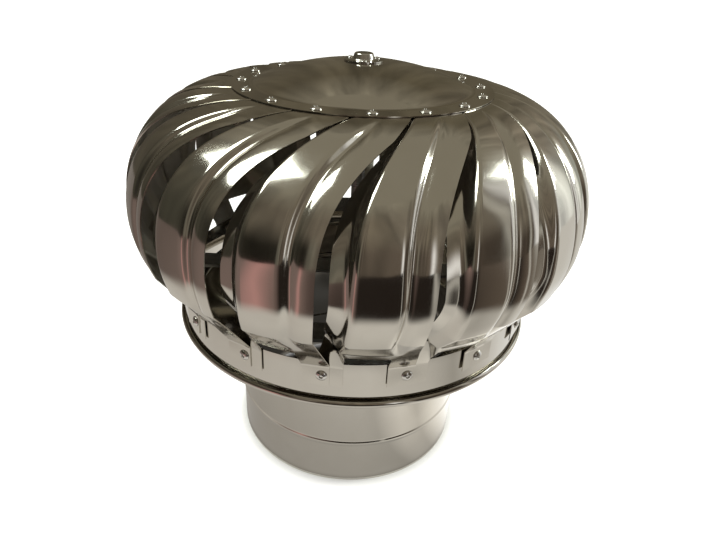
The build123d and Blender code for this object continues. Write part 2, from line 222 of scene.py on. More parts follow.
def polished_stainless(name, pale, smudged, wave, depth, gloss, haze, inside=None):
    """Bright stainless sheet: a mirror, wavy from the press, hazy from handling, dull inside the ball,
    where its darker tone is painted shade.
    """
    finish, tree, coords = new_finish(name)
    waves = add(tree, "ShaderNodeTexNoise", Vector=coords, Scale=1 / (wave * mm), Detail=1.0)
    smudges = add(
        tree, "ShaderNodeTexNoise", Vector=coords, Scale=1 / (smudge_size * mm),
        Detail=4.0, Distortion=0.6,
    )
    scratch_run = add(tree, "ShaderNodeMapping", Vector=coords, Scale=(1.0, 1.0, scratch_squeeze))
    scratches = add(
        tree, "ShaderNodeTexNoise", Vector=scratch_run.outputs[0], Scale=1 / (scratch_size * mm),
        Detail=5.0, Roughness=0.7,
    )
    hazy = add(
        tree, "ShaderNodeMapRange", Value=smudges.outputs["Fac"],
        From_Min=0.45, From_Max=0.75, To_Min=gloss, To_Max=haze,
    )
    fine = add(
        tree, "ShaderNodeMapRange", Value=scratches.outputs["Fac"],
        From_Min=0.55, From_Max=0.8, To_Min=0.0, To_Max=0.05,
    )
    rough = add(
        tree, "ShaderNodeMath", {"operation": "ADD"}, _0=hazy.outputs[0], _1=fine.outputs[0]
    ).outputs[0]
    tone = add(
        tree, "ShaderNodeMix", {"data_type": "RGBA"}, _0=smudges.outputs["Fac"],
        _6=linear(pale), _7=linear(smudged),
    ).outputs[2]
    # Faces turned in towards the ball's middle get the inside tone: the rougher unpolished side is real,
    # the darker tone is painted shade
    if inside:
        middle = (0, 0, ball_height * mm)
        place = add(tree, "ShaderNodeVectorMath", {"operation": "SUBTRACT"}, _0=coords, _1=middle)
        facing = add(tree, "ShaderNodeTexCoord").outputs["Normal"]
        outward = add(
            tree, "ShaderNodeVectorMath", {"operation": "DOT_PRODUCT"}, _0=place.outputs[0], _1=facing
        )
        outside = add(
            tree, "ShaderNodeMath", {"operation": "GREATER_THAN"}, _0=outward.outputs["Value"], _1=0.0
        ).outputs[0]
        tone = add(
            tree, "ShaderNodeMix", {"data_type": "RGBA"}, _0=outside, _6=linear(inside), _7=tone
        ).outputs[2]
        rough = add(tree, "ShaderNodeMix", _0=outside, _2=inside_rough, _3=rough).outputs[0]
    bump = add(tree, "ShaderNodeBump", Height=waves.outputs["Fac"], Distance=depth * mm, Strength=1.0)
    shader = add(
        tree, "ShaderNodeBsdfPrincipled", Base_Color=tone, Metallic=1.0, Roughness=rough,
        Normal=bump.outputs[0],
    )
    add(tree, "ShaderNodeOutputMaterial", Surface=shader.outputs[0])
    return finish


def machined_metal(name, light, dark, grain, rough_low, rough_high, stretch=(1.0, 1.0, 1.0)):
    """Turned, ground or rolled metal: a satin sheen with marks, drawn out one way by a stretch."""
    finish, tree, coords = new_finish(name)
    run = add(tree, "ShaderNodeMapping", Vector=coords, Scale=stretch)
    marks = add(
        tree, "ShaderNodeTexNoise", Vector=run.outputs[0], Scale=1 / (grain * mm),
        Detail=3.0, Roughness=0.6,
    )
    rough = add(
        tree, "ShaderNodeMapRange", Value=marks.outputs["Fac"],
        From_Min=0.3, From_Max=0.7, To_Min=rough_low, To_Max=rough_high,
    )
    tone = add(
        tree, "ShaderNodeMix", {"data_type": "RGBA"}, _0=marks.outputs["Fac"],
        _6=linear(light), _7=linear(dark),
    )
    bump = add(tree, "ShaderNodeBump", Height=marks.outputs["Fac"], Distance=0.02 * mm, Strength=0.4)
    shader = add(
        tree, "ShaderNodeBsdfPrincipled", Base_Color=tone.outputs[2], Metallic=1.0,
        Roughness=rough.outputs[0], Normal=bump.outputs[0],
    )
    add(tree, "ShaderNodeOutputMaterial", Surface=shader.outputs[0])
    return finish


# Cold-rolled stainless, buffed: the vanes mirror the room, a little wavy from the press; their inner side
# is rougher, and its darker tone is painted shade
vane_steel = polished_stainless(
    "buffed_stainless_vanes", "#cdc9c1", "#c3beb4", wave=24, depth=0.6, gloss=0.10, haze=0.17,
    inside="#a8a296",
)
# The same sheet, rolled into a ring: its mirror is drawn out round the vent
ring_steel = polished_stainless(
    "buffed_stainless_ring", "#cbc7bf", "#c1bcb3", wave=30, depth=0.08, gloss=0.06, haze=0.14
)
# The same sheet, spun into a low dome: an even mirror of what is above
plate_steel = polished_stainless(
    "spun_stainless_plate", "#c6c1b7", "#bcb6ab", wave=36, depth=0.08, gloss=0.05, haze=0.13
)
# The same sheet, rolled into a tube: duller from handling
neck_steel = polished_stainless(
    "rolled_stainless_neck", "#cac6be", "#c0bbb2", wave=34, depth=0.10, gloss=0.08, haze=0.18
)
# Pressed stainless: a small cap with a bright edge
cap_steel = polished_stainless(
    "pressed_stainless_cap", "#cfccc6", "#c2beb6", wave=8, depth=0.03, gloss=0.07, haze=0.16
)
# Pop rivets, drawn steel: small bright domes
rivet_steel = polished_stainless(
    "drawn_steel_rivets", "#dcdad6", "#cfccc7", wave=4, depth=0.02, gloss=0.14, haze=0.24
)
# Hot-rolled strap, pickled: grey satin with rolling marks along it
bridge_steel = machined_metal(
    "rolled_steel_straps", "#a9a8a5", "#8f8e8a", grain=3.0, rough_low=0.32, rough_high=0.48,
    stretch=(0.1, 1.0, 1.0),
)
# Ground shaft: fine rings round it
shaft_steel = machined_metal(
    "ground_steel_shaft", "#b9b9b8", "#a3a3a2", grain=1.2, rough_low=0.18, rough_high=0.30,
    stretch=(0.05, 0.05, 1.0),
)
# Ground bearing rings: brighter, with finer rings round them
bearing_steel = machined_metal(
    "ground_bearing_steel", "#c2c2c1", "#adadac", grain=0.8, rough_low=0.14, rough_high=0.24,
    stretch=(0.05, 0.05, 1.0),
)
# Blackened spring steel, oiled: dark, with a soft sheen
spring_steel = machined_metal(
    "blackened_spring_steel", "#4a4a4c", "#363638", grain=1.0, rough_low=0.30, rough_high=0.45
)
# Zinc plating: pale, faintly blue
zinc_plate = machined_metal(
    "zinc_plated_steel", "#b7babd", "#9da1a5", grain=2.0, rough_low=0.25, rough_high=0.40
)
# Sintered bronze, oiled: brown and slightly grainy
bush_bronze = machined_metal(
    "sintered_bronze", "#a5793f", "#7f5a2d", grain=0.6, rough_low=0.35, rough_high=0.50
)


# Shapes

def new_object(name, mesh, finish):
    """An object of that mesh, with its finish."""
    data = bpy.data.meshes.new(name)
    mesh.to_mesh(data)
    mesh.free()
    data.materials.append(finish)
    made = bpy.data.objects.new(name, data)
    bpy.context.collection.objects.link(made)
    return made


def dress(mesh, name, body, node, finish, sharp):
    """A finished piece of that mesh, on its body and in place of its solid."""
    piece = new_object(name, mesh, finish)
    piece.data.shade_smooth()
    piece.data.set_sharp_from_angle(angle=radians(sharp))
    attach(piece, body)
    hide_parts(node)


def begin(mesh, radius, height):
    """First point of a half section, at a radius and a height."""
    return mesh.verts.new((radius * mm, 0, height * mm))


def line_to(mesh, vert, radius, height):
    """Carries a half section straight on to a point."""
    end = begin(mesh, radius, height)
    mesh.edges.new((vert, end))
    return end


def arc_to(mesh, vert, radius, height, angle, steps):
    """Carries a half section on round a centre, by an angle that turns from outwards to upwards."""
    made = bmesh.ops.spin(
        mesh, geom=[vert], cent=(radius * mm, 0, height * mm), axis=(0, -1, 0),
        angle=radians(angle), steps=steps,
    )
    return [item for item in made["geom_last"] if isinstance(item, bmesh.types.BMVert)][0]


def bend(mesh, vert, reach, segments=6):
    """Rounds a corner of a half section, from that far before it to that far after it."""
    bmesh.ops.bevel(
        mesh, geom=[vert], offset=reach * mm, offset_type="OFFSET", affect="VERTICES",
        segments=segments, profile=0.5, material=-1,
    )


def turn(mesh, steps):
    """Turns a half section round the shaft into a closed skin that faces outwards."""
    bmesh.ops.spin(
        mesh, geom=mesh.verts[:] + mesh.edges[:], cent=(0, 0, 0), axis=(0, 0, 1),
        angle=2 * pi, steps=steps, use_merge=True,
    )
    bmesh.ops.remove_doubles(mesh, verts=mesh.verts, dist=0.001 * mm)
    bmesh.ops.recalc_face_normals(mesh, faces=mesh.faces)


def thicken(mesh, thickness):
    """Gives a skin the thickness of its sheet, inwards."""
    bmesh.ops.solidify(mesh, geom=mesh.faces[:], thickness=thickness * mm)


# Neck, base ring, top plate and cap

def make_neck():
    """A rolled tube with a stop bead, opening into a throat with an upright lip."""
    mesh = bmesh.new()
    foot = begin(mesh, neck_radius, 0)
    below = line_to(mesh, foot, neck_radius, bead_height - bead_width / 2)
    crown = line_to(mesh, below, neck_radius + bead_rise, bead_height)
    above = line_to(mesh, crown, neck_radius, bead_height + bead_width / 2)
    throat = line_to(mesh, above, neck_radius, neck_height)
    lip = line_to(mesh, throat, throat_radius, neck_height + throat_rise)
    line_to(mesh, lip, throat_radius, neck_height + throat_rise + throat_lip)
    bend(mesh, crown, bead_width / 4)
    bend(mesh, below, bead_width / 8, segments=3)
    bend(mesh, above, bead_width / 8, segments=3)
    bend(mesh, throat, throat_bend)
    bend(mesh, lip, throat_bend)
    turn(mesh, sheet_facets)
    thicken(mesh, neck_sheet)
    dress(mesh, "rolled_neck", "base", "neck_collar", neck_steel, sharp=40)


def make_base_ring():
    """A plain band whose lower edge is rolled into a bead."""
    roll = curl_diameter / 2
    middle = ring_radius - sheet / 2
    height = ring_bottom + roll
    mesh = bmesh.new()
    top = begin(mesh, ring_radius, ring_top)
    shoulder = line_to(mesh, top, ring_radius, height + curl_shoulder)
    start = line_to(mesh, shoulder, middle - roll, height)
    arc_to(mesh, start, middle, height, curl_angle, curl_facets)
    bend(mesh, shoulder, fold_bend, segments=4)
    turn(mesh, sheet_facets)
    thicken(mesh, sheet)
    dress(mesh, "rolled_edge_ring", "rotor", "base_ring", ring_steel, sharp=40)


def make_top_plate():
    """A flat flange round a low dome that is part of a sphere, open under the cap's boss."""
    square = dome_radius**2 + plate_height**2 - dome_flat**2 - dome_height**2
    middle = square / (2 * (plate_height - dome_height))
    rise = atan2(dome_height - middle, dome_flat) - atan2(plate_height - middle, dome_radius)
    mesh = bmesh.new()
    rim = begin(mesh, plate_radius, plate_height)
    foot = line_to(mesh, rim, dome_radius, plate_height)
    brow = arc_to(mesh, foot, 0, middle, degrees(rise), dome_facets)
    line_to(mesh, brow, cap_boss_radius, dome_height)
    bend(mesh, foot, fold_bend, segments=4)
    turn(mesh, sheet_facets)
    thicken(mesh, sheet)
    dress(mesh, "domed_top_plate", "rotor", "top_plate", plate_steel, sharp=40)


def make_cap():
    """A pressed cap: a low tapered boss on a flat flange."""
    bottom = dome_height + lap_gap + cap_sheet
    mesh = bmesh.new()
    rim = begin(mesh, cap_radius, bottom)
    foot = line_to(mesh, rim, cap_boss_radius, bottom)
    shoulder = line_to(mesh, foot, cap_boss_radius - cap_taper, bottom + cap_boss_rise)
    line_to(mesh, shoulder, 0, bottom + cap_boss_rise)
    bend(mesh, foot, cap_foot_bend)
    bend(mesh, shoulder, cap_brow_bend)
    turn(mesh, cap_facets)
    thicken(mesh, cap_sheet)
    dress(mesh, "pressed_cap", "rotor", "bearing_cap", cap_steel, sharp=40)


# Vanes

flat_shares = (0.0, 0.06, 0.13, 0.25, 0.5, 0.75, 0.87, 0.94)
side_shares = (0.0, 0.17, 0.33, 0.5, 0.67, 0.83)
panel_sides = (1, 3)        # stretches across a vane that are the panel's sloping sides
columns = [
    (corner, share)
    for corner in range(5)
    for share in (side_shares if corner in panel_sides else flat_shares)
] + [(4, 1.0)]
lower_rows = 10             # from the crease to the widest place
upper_rows = 36             # from there to where the vane lies flat
flat_rows = 4               # below the plate
crease_margin = 0.6         # one more row that far above the crease
row_step = 0.01             # short way along the ball, which gives its slope
press_samples = 9           # depths averaged over the rounding of an edge


def smooth(share):
    """A share from 0 to 1 that leaves and arrives level."""
    return share * share * (3 - 2 * share)


def lower_curve(height):
    """Radius of the ball's lower half at a height."""
    share = ((ball_height - height) / lower_reach) ** lower_power
    return ball_radius * (1 - share) ** (1 / lower_power)


def upper_curve(angle):
    """Point on the ball's upper half, from its widest place at 0 to where it is flat at 90."""
    power = 2 / upper_power
    top = plate_height - sheet - lap_gap
    radius = shoulder_radius + (ball_radius - shoulder_radius) * max(cos(radians(angle)), 0) ** power
    return radius, ball_height + (top - ball_height) * sin(radians(angle)) ** power


def twist_at(radius, height):
    """Turn of a vane at a place on the ball, against its widest place."""
    if height < ball_height:
        share = (ball_height - height) / (ball_height - crease_height)
        return -foot_twist * min(share, 1) ** twist_power
    share = (ball_radius - radius) / (ball_radius - top_rivet_radius)
    return twist * max(share, 0) ** twist_power


def fade_at(radius, height):
    """Share of the full relief: 1 on the ball, 0 where the vane lies flat below the plate."""
    if height < ball_height:
        return 1.0
    return smooth(min(max((radius - plate_radius) / fade_reach, 0.0), 1.0))


def tuck_at(height):
    """Extra depth of a vane's left edge, which runs straighter than the ball."""
    share = (ball_height - height) / (ball_height - crease_height)
    if height > ball_height:
        share = min((height - ball_height) / tuck_reach, 1)
    return edge_tuck * share ** tuck_power


def vane_corners(radius, height, relief, spread):
    """Angle and depth of the corners across a vane's outer face, from left to right."""
    fade = fade_at(radius, height)
    left_level = (emboss + left_drop) * fade + lap_drop * (1 - fade)
    tuck = tuck_at(height) * fade
    right_level = emboss * fade
    right_edge = min(degrees(edge_reach / radius), lap_angle)
    return [
        (-left_edge, left_level + edge_drop * fade + tuck),
        (-panel_left - step_angle - spread, left_level + tuck / 2),
        (-panel_left - spread, left_level * (1 - relief)),
        (panel_right + spread, right_level * (1 - relief)),
        (panel_right + step_angle + spread, right_level),
        (right_edge, right_level * (1 - relief)),
    ]


def along_corners(corners, corner, share):
    """Point at a share of the way from a corner to the next."""
    (x0, y0), (x1, y1) = corners[corner], corners[corner + 1]
    return x0 + (x1 - x0) * share, y0 + (y1 - y0) * share


def depth_at(corners, angle):
    """Depth of a vane's face at an angle; the right flange levels out towards its free edge."""
    last = len(corners) - 2
    corner = 0
    while corner < last and corners[corner + 1][0] < angle:
        corner += 1
    (x0, y0), (x1, y1) = corners[corner], corners[corner + 1]
    share = (angle - x0) / (x1 - x0)
    if corner == last:
        share = 1 - (1 - share) ** flange_power
    return y0 + (y1 - y0) * share


def pressed_depth(corners, angle):
    """The same, with the edges of the panel rounded by the press."""
    half = press_samples // 2
    reach = [press_round * (i - half) / half for i in range(press_samples)]
    return sum(depth_at(corners, angle + shift) for shift in reach) / len(reach)


def ball_row(point, ahead, relief=1.0, spread=0.0):
    """Points across a vane at one place of the ball, square to its slope there."""
    radius, height = point
    run = atan2(ahead[1] - height, ahead[0] - radius)
    out, up = sin(run), -cos(run)
    angle = radians(twist_at(radius, height))
    corners = vane_corners(radius, height, relief, spread)
    place = Matrix((
        (-sin(angle), out * cos(angle), 0, radius * cos(angle)),
        (cos(angle), out * sin(angle), 0, radius * sin(angle)),
        (0, up, 1, height),
        (0, 0, 0, 1),
    ))
    points = []
    for corner, share in columns:
        side = along_corners(corners, corner, share)[0]
        drop = radius * (1 - cos(radians(side))) * out
        depth = pressed_depth(corners, side)
        points.append(place @ Vector((radius * sin(radians(side)), -drop - depth, 0)) * mm)
    return points


def lower_row(height, relief=1.0, spread=0.0):
    """Points across a vane at a height of the ball's lower half."""
    ahead = height + row_step
    return ball_row((lower_curve(height), height), (lower_curve(ahead), ahead), relief, spread)


def foot_row(height):
    """Points across a vane's foot, flat against the ring at each rivet."""
    near = ring_radius + lap_gap + sheet
    far = near + lap_gap + sheet
    left = -radians(foot_rivet_angle)
    right = left + radians(pitch)
    inner = notch_width / 2 - notch_margin
    left_reach = near * tan(-left) - inner
    right_reach = far * tan(right) - inner
    corners = []
    for along in (-foot_margin, left_reach - foot_fold, left_reach):
        corners.append((near * sin(left) + along * cos(left), near * cos(left) - along * sin(left)))
    for along in (-right_reach, foot_fold - right_reach, foot_margin):
        corners.append((far * sin(right) + along * cos(right), far * cos(right) - along * sin(right)))
    points = []
    for corner, share in columns:
        x, y = along_corners(corners, corner, share)
        points.append(Vector((y, x, height)) * mm)
    return points


def rows_between(first, last, shares):
    """Rows of points at shares of the way from one row to another."""
    return [[a.lerp(b, share) for a, b in zip(first, last)] for share in shares]


def vane_rows():
    """Rows of points up a vane, from the foot's lower edge to the inner end below the plate."""
    foot, seat = foot_row(foot_bottom), foot_row(seat_height)
    flare, crease = lower_row(flare_height, 0.0, crease_spread), lower_row(crease_height)
    rows = rows_between(foot, seat, (0.0, 0.3, 0.6, 0.92))
    rows += rows_between(seat, flare, (0.0, 0.06, 0.3, 0.55, 0.8, 0.94))
    rows += rows_between(flare, crease, (0.0, 0.06, 0.35, 0.65, 0.95))
    rows.append(crease)
    rows.append(lower_row(crease_height + crease_margin))
    for i in range(1, lower_rows):
        rows.append(lower_row(crease_height + (ball_height - crease_height) * i / lower_rows))
    for i in range(upper_rows):
        angle = 90 * i / upper_rows
        rows.append(ball_row(upper_curve(angle), upper_curve(angle + row_step)))
    flat = upper_curve(90)[1]
    for i in range(flat_rows):
        radius = shoulder_radius + (vane_end - shoulder_radius) * i / (flat_rows - 1)
        rows.append(ball_row((radius, flat), (radius - row_step, flat)))
    return rows


def cut_notch(mesh):
    """Opens the gap between a panel's lower edge and the ring."""
    half = notch_width / 2 * mm
    top = notch_top * mm
    bmesh.ops.bisect_plane(
        mesh, geom=mesh.verts[:] + mesh.edges[:] + mesh.faces[:], plane_co=(0, 0, top), plane_no=(0, 0, 1)
    )
    for side in (-half, half):
        low = [face for face in mesh.faces if face.calc_center_median().z < top]
        edges = {edge for face in low for edge in face.edges}
        verts = {vert for face in low for vert in face.verts}
        bmesh.ops.bisect_plane(
            mesh, geom=list(verts) + list(edges) + low, plane_co=(0, side, 0), plane_no=(0, 1, 0)
        )
    open_faces = []
    for face in mesh.faces:
        centre = face.calc_center_median()
        if centre.z < top and abs(centre.y) < half:
            open_faces.append(face)
    bmesh.ops.delete(mesh, geom=open_faces, context="FACES")


def make_vane(number):
    """One pressed vane: a grid laid on the ball, with its notch cut out, turned to its place."""
    mesh = bmesh.new()
    rows = vane_rows()
    wide, tall = len(columns) - 1, len(rows) - 1
    bmesh.ops.create_grid(mesh, x_segments=wide, y_segments=tall, size=1.0)
    for vert in mesh.verts:
        column = round((vert.co.x + 1) / 2 * wide)
        row = round((vert.co.y + 1) / 2 * tall)
        vert.co = rows[row][column]
    cut_notch(mesh)
    thicken(mesh, sheet)
    angle = radians(front + first_vane + pitch * (number - 1))
    bmesh.ops.rotate(mesh, verts=mesh.verts, cent=(0, 0, 0), matrix=Matrix.Rotation(angle, 3, "Z"))
    name = f"vane_{number:02d}"
    dress(mesh, f"pressed_{name}", "rotor", name, vane_steel, sharp=50)


# Rivets

def add_rivet(mesh, place, grip, diameter, head, rise, tail, tail_length):
    """One set pop rivet along +Z of its place: a domed head with the dimple that its mandrel left."""
    rivet = bmesh.new()
    # The head's points are shares of its width and rise, as a set rivet has them
    dimple = diameter * 0.27
    centre = begin(rivet, 0, rise * 0.55)
    floor = line_to(rivet, centre, dimple, rise * 0.5)
    brim = line_to(rivet, floor, dimple * 1.15, rise)
    dome = line_to(rivet, brim, head * 0.36, rise * 0.72)
    edge = line_to(rivet, dome, head / 2, rise * 0.22)
    under = line_to(rivet, edge, head / 2 - rise * 0.08, 0)
    neck = line_to(rivet, under, diameter / 2, 0)
    back = line_to(rivet, neck, diameter / 2, -grip)
    bulge = line_to(rivet, back, tail / 2, -grip)
    end = line_to(rivet, bulge, tail / 2, -grip - tail_length)
    line_to(rivet, end, 0, -grip - tail_length)
    bend(rivet, brim, rise * 0.12, segments=3)
    bend(rivet, dome, head * 0.1, segments=4)
    bend(rivet, edge, rise * 0.15, segments=3)
    bend(rivet, end, tail_length * 0.3, segments=3)
    turn(rivet, rivet_facets)
    bmesh.ops.transform(rivet, matrix=place, verts=rivet.verts)
    data = bpy.data.meshes.new("one_rivet")
    rivet.to_mesh(data)
    rivet.free()
    mesh.from_mesh(data)
    bpy.data.meshes.remove(data)


def make_rivets(name, node, angles, place, grip, sizes):
    """A ring of rivets as one piece: the rivet at that place, turned round the shaft to each angle."""
    mesh = bmesh.new()
    for angle in angles:
        add_rivet(mesh, Matrix.Rotation(radians(angle), 4, "Z") @ place, grip, *sizes)
    dress(mesh, name, "rotor", node, rivet_steel, sharp=45)


def make_all_rivets():
    """The rivets at the vanes' feet and tops, and those of the cap."""
    vane_angles = [front + first_vane + pitch * i for i in range(vane_count)]
    foot_angles = [angle - foot_rivet_angle for angle in vane_angles]
    top_angles = [angle + twist for angle in vane_angles]
    cap_angles = [front + 360.0 * i / cap_rivet_count for i in range(cap_rivet_count)]
    vane_rivet = (rivet_diameter, rivet_head, rivet_rise, rivet_tail, rivet_tail_length)
    cap_rivet = (cap_rivet_diameter, cap_rivet_head, cap_rivet_rise, cap_rivet_tail, cap_rivet_rise)

    seat = ring_radius + 2 * lap_gap + 2 * sheet + head_gap
    level = Matrix.Translation((seat * mm, 0, foot_rivet_height * mm)) @ Matrix.Rotation(pi / 2, 4, "Y")
    grip = 3 * sheet + 2 * lap_gap + 2 * head_gap
    make_rivets("foot_pop_rivets", "vane_foot_rivets", foot_angles, level, grip, vane_rivet)

    upright = Matrix.Translation((top_rivet_radius * mm, 0, (plate_height + head_gap) * mm))
    grip = 2 * sheet + lap_gap + 2 * head_gap
    make_rivets("top_pop_rivets", "vane_top_rivets", top_angles, upright, grip, vane_rivet)

    seat = dome_height + lap_gap + cap_sheet + head_gap
    upright = Matrix.Translation((cap_rivet_radius * mm, 0, seat * mm))
    grip = cap_sheet + 2 * lap_gap + sheet + bush_flange + 2 * head_gap
    make_rivets("cap_pop_rivets", "cap_rivets", cap_angles, upright, grip, cap_rivet)


def dress_inner_solids():
    """Finishes of the pieces inside, which keep their solids."""
    finishes = {
        "neck_bridge": bridge_steel, "rotor_bridge": bridge_steel, "shaft": shaft_steel,
        "shaft_washer": zinc_plate, "shaft_nut": zinc_plate, "shaft_clip": spring_steel,
        "lower_bearing_inner_ring": bearing_steel, "lower_bearing_outer_ring": bearing_steel,
        "top_bush": bush_bronze,
    }
    for name, finish in finishes.items():
        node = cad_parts[name]
        if not node.material_slots:
            node.data.materials.append(finish)
        for slot in node.material_slots:
            slot.material = finish


# Studio, in metres

ceiling = "#989282"         # warm grey
lamp_tone = "#f3fbf3"
floor_half = 14.0
curtain_radius = 1.4
curtain_height = 1.9
curtain_facets = 64
fold_width = 0.2
cloth_lift = 0.0015         # above the floor
picture_width = 716         # pixels
focal_length = 584.141      # pixels
sensor_width = 36.0         # millimetres
camera_place = (0, -0.34078, 0.3035)
camera_tilt = 0.494         # radians downwards
camera_roll = 0.048         # radians
camera_shift = (0.00559, -0.01199)


def pale_floor():
    """Plain pale floor, white to the eye and in the metal, with the vent's shadow on it and painted shade
    below the neck and round its foot.
    """
    finish, tree, coords = new_finish("pale_floor")
    path = add(tree, "ShaderNodeLightPath")
    seen = add(
        tree, "ShaderNodeMath", {"operation": "ADD", "use_clamp": True},
        _0=path.outputs["Is Camera Ray"], _1=path.outputs["Is Glossy Ray"],
    )
    seen = add(
        tree, "ShaderNodeMath", {"operation": "ADD", "use_clamp": True},
        _0=seen.outputs[0], _1=path.outputs["Is Transmission Ray"],
    )
    # Painted shade: no glow below the neck, rising over a soft edge round its foot, so that the vent
    # stays dark inside and the floor beside it looks shaded
    reach = add(tree, "ShaderNodeVectorMath", {"operation": "LENGTH"}, _0=coords)
    outside = add(
        tree, "ShaderNodeMapRange", {"interpolation_type": "SMOOTHSTEP"}, Value=reach.outputs["Value"],
        From_Min=neck_radius * 0.9 * mm, From_Max=neck_radius * 1.15 * mm, To_Max=0.9,
    )
    glow = add(
        tree, "ShaderNodeMath", {"operation": "MULTIPLY"}, _0=seen.outputs[0], _1=outside.outputs[0]
    )
    shader = add(
        tree, "ShaderNodeBsdfPrincipled", Base_Color=linear("#c8c7c4"), Roughness=0.9,
        Emission_Color=linear("#ffffff"), Emission_Strength=glow.outputs[0],
    )
    add(tree, "ShaderNodeOutputMaterial", Surface=shader.outputs[0])
    mesh = bmesh.new()
    bmesh.ops.create_grid(mesh, x_segments=1, y_segments=1, size=floor_half)
    floor = new_object("floor", mesh, finish)


def out_of_picture(name, mesh, finish):
    """A glowing sheet that only the metal mirrors, a painted reflection, out of the picture as a
    photographer would hang a cloth.
    """
    cloth = new_object(name, mesh, finish)
    cloth.visible_camera = False
    cloth.visible_diffuse = False
    cloth.visible_shadow = False


def hang_curtain():
    """A glowing curtain all round that paints the metal's reflections: dark left, brown with pale strips
    in front, white right, olive behind.
    """
    finish, tree, coords = new_finish("painted_reflection_curtain")
    way = add(tree, "ShaderNodeTexGradient", {"gradient_type": "RADIAL"}, Vector=coords).outputs["Fac"]
    # Painted reflections: the white strips are painted highlights that streak the vanes, the dark
    # stretches painted shade of the room
    low_tones = add(tree, "ShaderNodeValToRGB", Fac=way, stops=[
        (0.0, "#48463c"), (0.08, "#3a372f"), (0.12, "#25231c"), (0.16, "#2c2922"), (0.185, "#8d897b"),
        (0.21, "#5f564c"), (0.28, "#675d52"), (0.305, "#75695d"), (0.322, "#ffffff"), (0.34, "#7a7165"),
        (0.355, "#4f463e"), (0.432, "#4a4138"), (0.443, "#e8e6dc"), (0.454, "#5a5046"),
        (0.465, "#5a5046"), (0.482, "#ffffff"), (0.56, "#f8faf4"), (0.59, "#cbcdc2"),
        (0.66, "#7a7365"), (0.7, "#655e4d"), (0.85, "#5d564a"), (1.0, "#48463c"),
    ])
    high_tones = add(tree, "ShaderNodeValToRGB", Fac=way, stops=[
        (0.0, "#5d594d"), (0.08, "#6a6457"), (0.13, "#736b5e"), (0.2, "#7a7164"), (0.28, "#7f7667"),
        (0.34, "#8a8275"), (0.438, "#7b7366"), (0.453, "#d8d6cc"), (0.465, "#5a5046"), (0.483, "#ffffff"),
        (0.56, "#f8faf4"), (0.6, "#ada393"), (0.7, "#655e4d"), (0.85, "#665f50"), (1.0, "#5d594d"),
    ])
    height = add(tree, "ShaderNodeSeparateXYZ", Vector=coords).outputs["Z"]
    level = add(
        tree, "ShaderNodeMapRange", {"interpolation_type": "SMOOTHSTEP"}, Value=height,
        From_Min=0.3, From_Max=0.85,
    )
    round_tones = add(
        tree, "ShaderNodeMix", {"data_type": "RGBA"}, _0=level.outputs[0],
        _6=low_tones.outputs[0], _7=high_tones.outputs[0],
    )
    hem = add(tree, "ShaderNodeMapRange", Value=height, From_Min=1.1, From_Max=1.8)
    hem_tones = add(
        tree, "ShaderNodeMix", {"data_type": "RGBA"}, _0=hem.outputs[0],
        _6=round_tones.outputs[2], _7=linear(ceiling),
    )
    # Painted shade of folds: the curtain's glow rises and falls in long streaks
    fold_run = add(tree, "ShaderNodeMapping", Vector=coords, Scale=(1.0, 1.0, 0.12))
    folds = add(
        tree, "ShaderNodeTexNoise", Vector=fold_run.outputs[0], Scale=1 / fold_width,
        Detail=3.0, Roughness=0.6,
    )
    shade = add(
        tree, "ShaderNodeMapRange", Value=folds.outputs["Fac"],
        From_Min=0.35, From_Max=0.65, To_Min=0.6, To_Max=1.3,
    )
    shader = add(tree, "ShaderNodeEmission", Color=hem_tones.outputs[2], Strength=shade.outputs[0])
    add(tree, "ShaderNodeOutputMaterial", Surface=shader.outputs[0])
    mesh = bmesh.new()
    bmesh.ops.create_circle(mesh, segments=curtain_facets, radius=curtain_radius)
    rim = bmesh.ops.extrude_edge_only(mesh, edges=mesh.edges[:])
    upper = [item for item in rim["geom"] if isinstance(item, bmesh.types.BMVert)]
    bmesh.ops.translate(mesh, verts=upper, vec=(0, 0, curtain_height))
    out_of_picture("painted_reflection_curtain", mesh, finish)


